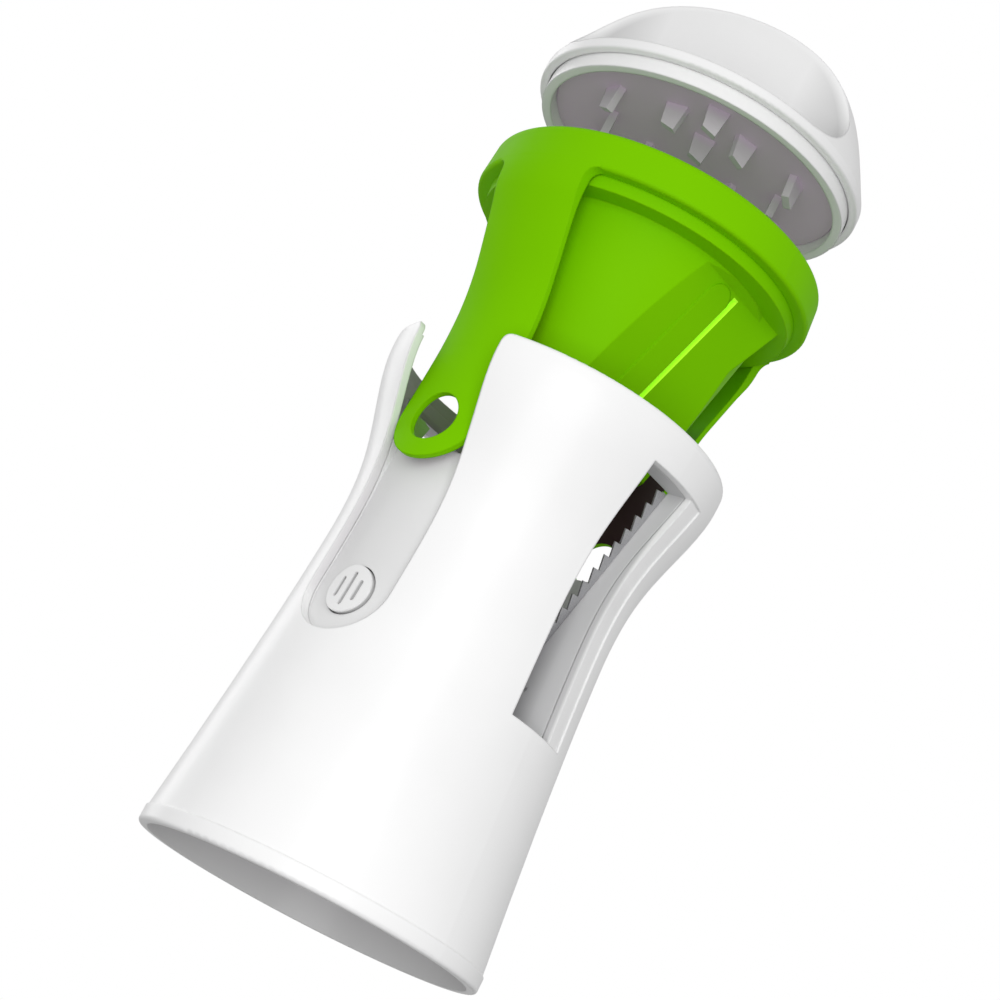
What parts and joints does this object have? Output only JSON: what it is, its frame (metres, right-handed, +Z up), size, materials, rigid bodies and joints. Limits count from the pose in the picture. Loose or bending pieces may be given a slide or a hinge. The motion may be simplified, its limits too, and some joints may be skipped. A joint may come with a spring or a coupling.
{
  "type": "hand spiralizer",
  "caption": "Hourglass hand spiralizer with a lifted green hopper on two latched straps, toothed blades in side windows and a turning spiked cap.",
  "frame": {"origin": "centre of the base rim, on the surface the housing stands on", "axes": "+Z up along the cap's turning axis, -Y towards the front strap and button, +X through the right cutting window"},
  "size_m": [0.0952, 0.0954, 0.2616],
  "materials": {
    "white_shell": "satin white moulded plastic",
    "light_grey_trim": "fine matt light grey moulded plastic",
    "white_button": "satin white moulded plastic",
    "lime_green": "glossy lime green moulded plastic",
    "cap_white": "satin white moulded plastic",
    "spike_grey": "matt grey moulded plastic",
    "blade_steel": "ground stainless steel with sharpened teeth",
    "screw_steel": "plain stainless steel",
    "spring_steel": "drawn spring steel wire"
  },
  "bodies": {
    "housing": {"housing_shell": "white_shell", "latch_track_front": "light_grey_trim", "latch_track_rear": "light_grey_trim", "exit_chute_right": "white_shell", "exit_chute_left": "white_shell", "julienne_blade_right": "blade_steel", "julienne_blade_left": "blade_steel", "blade_screws_right": "screw_steel", "blade_screws_left": "screw_steel", "button_socket_front": "light_grey_trim", "button_socket_rear": "light_grey_trim", "socket_screws_front": "screw_steel", "socket_screws_rear": "screw_steel"},
    "button_front": {"latch_button_front": "white_button", "button_spring_front": "spring_steel"},
    "button_rear": {"latch_button_rear": "white_button", "button_spring_rear": "spring_steel"},
    "hopper": {"hopper_frame": "lime_green", "feed_funnel": "lime_green"},
    "cap_ring": {"cap_guide_ring": "cap_white"},
    "cap": {"cap_dome": "cap_white", "spike_plate": "spike_grey"}
  },
  "joints": [
    {"name": "front_button_press", "type": "slide", "parent": "housing", "child": "button_front", "axis": [0, 1, 0], "range_m": [0, 0.002], "stiffness_N_per_m": 400, "springref_m": -0.002, "deforming": ["button_spring_front"]},
    {"name": "rear_button_press", "type": "slide", "parent": "housing", "child": "button_rear", "axis": [0, -1, 0], "range_m": [0, 0.002], "stiffness_N_per_m": 400, "springref_m": -0.002, "deforming": ["button_spring_rear"]},
    {"name": "hopper_slide", "type": "slide", "parent": "housing", "child": "hopper", "axis": [0, 0, 1], "range_m": [-0.0475, 0.045]},
    {"name": "cap_lift", "type": "slide", "parent": "hopper", "child": "cap_ring", "axis": [0, 0, 1], "range_m": [-0.0242, 0]},
    {"name": "cap_turn", "type": "hinge", "parent": "cap_ring", "child": "cap", "pos_m": [0, 0, 0.225], "axis": [0, 0, 1], "continuous": true}
  ]
}
